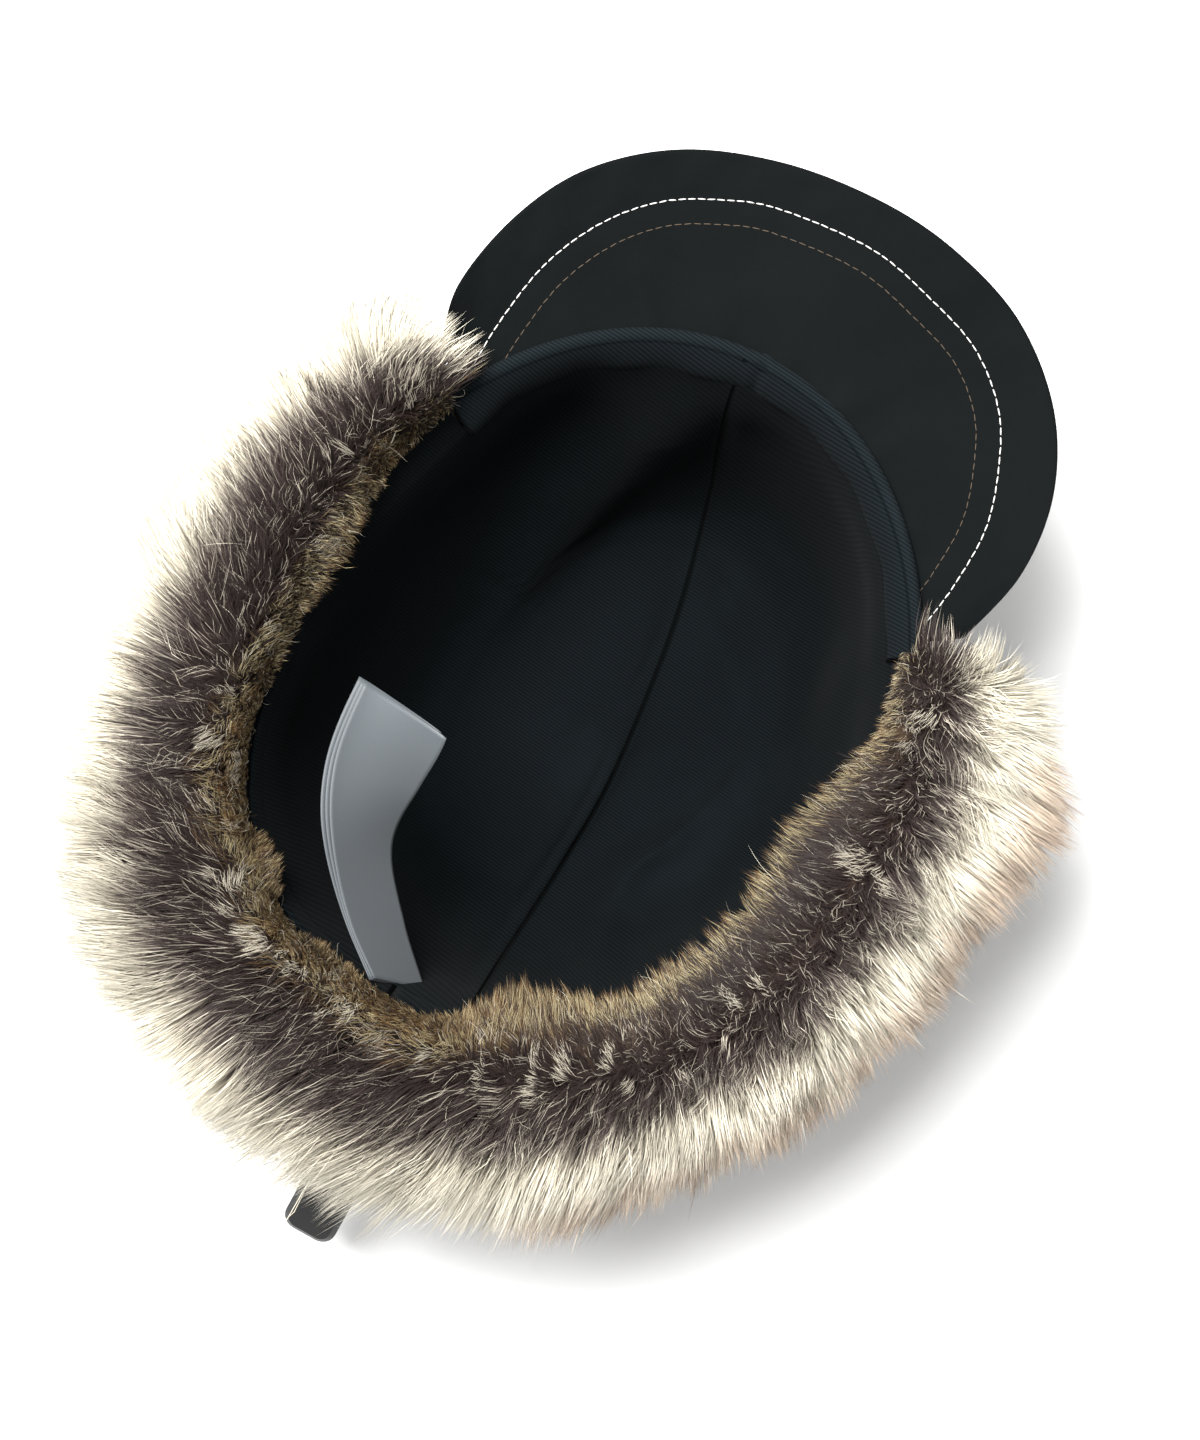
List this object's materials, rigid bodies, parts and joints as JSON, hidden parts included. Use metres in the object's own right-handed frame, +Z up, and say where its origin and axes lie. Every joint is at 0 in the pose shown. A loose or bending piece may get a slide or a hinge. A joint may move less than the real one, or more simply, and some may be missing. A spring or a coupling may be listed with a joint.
{
  "type": "earflap cap",
  "caption": "Soft winter cap with a stiff peak, a twill lining and a deep fur earflap turned outwards round the sides and back, lying on its crown with its mouth up.",
  "frame": {"origin": "middle of the flattened patch of the crown that the cap lies on", "axes": "+Z up, out of the mouth; +Y towards the peak; +X towards the wearer's left"},
  "size_m": [0.2917, 0.3458, 0.1611],
  "materials": {
    "shell": "matt black closely woven cotton",
    "lining": "matt navy-black cotton twill",
    "fur": "deep pile, dark brown at the root and cream at the tip",
    "label": "white satin ribbon",
    "webbing": "matt black tape",
    "toggle": "matt black moulding"
  },
  "bodies": {
    "root": {"crown_left": "shell", "crown_right": "shell", "lining_left": "lining", "lining_right": "lining", "band_front": "lining", "band_left": "lining", "band_right": "lining", "peak": "shell", "ear_flap_left": "shell", "ear_flap_right": "shell", "fur_left": "fur", "fur_right": "fur", "care_label_1": "label", "care_label_2": "label", "care_label_3": "label", "adjuster_tab": "webbing", "toggle": "toggle"}
  },
  "joints": []
}
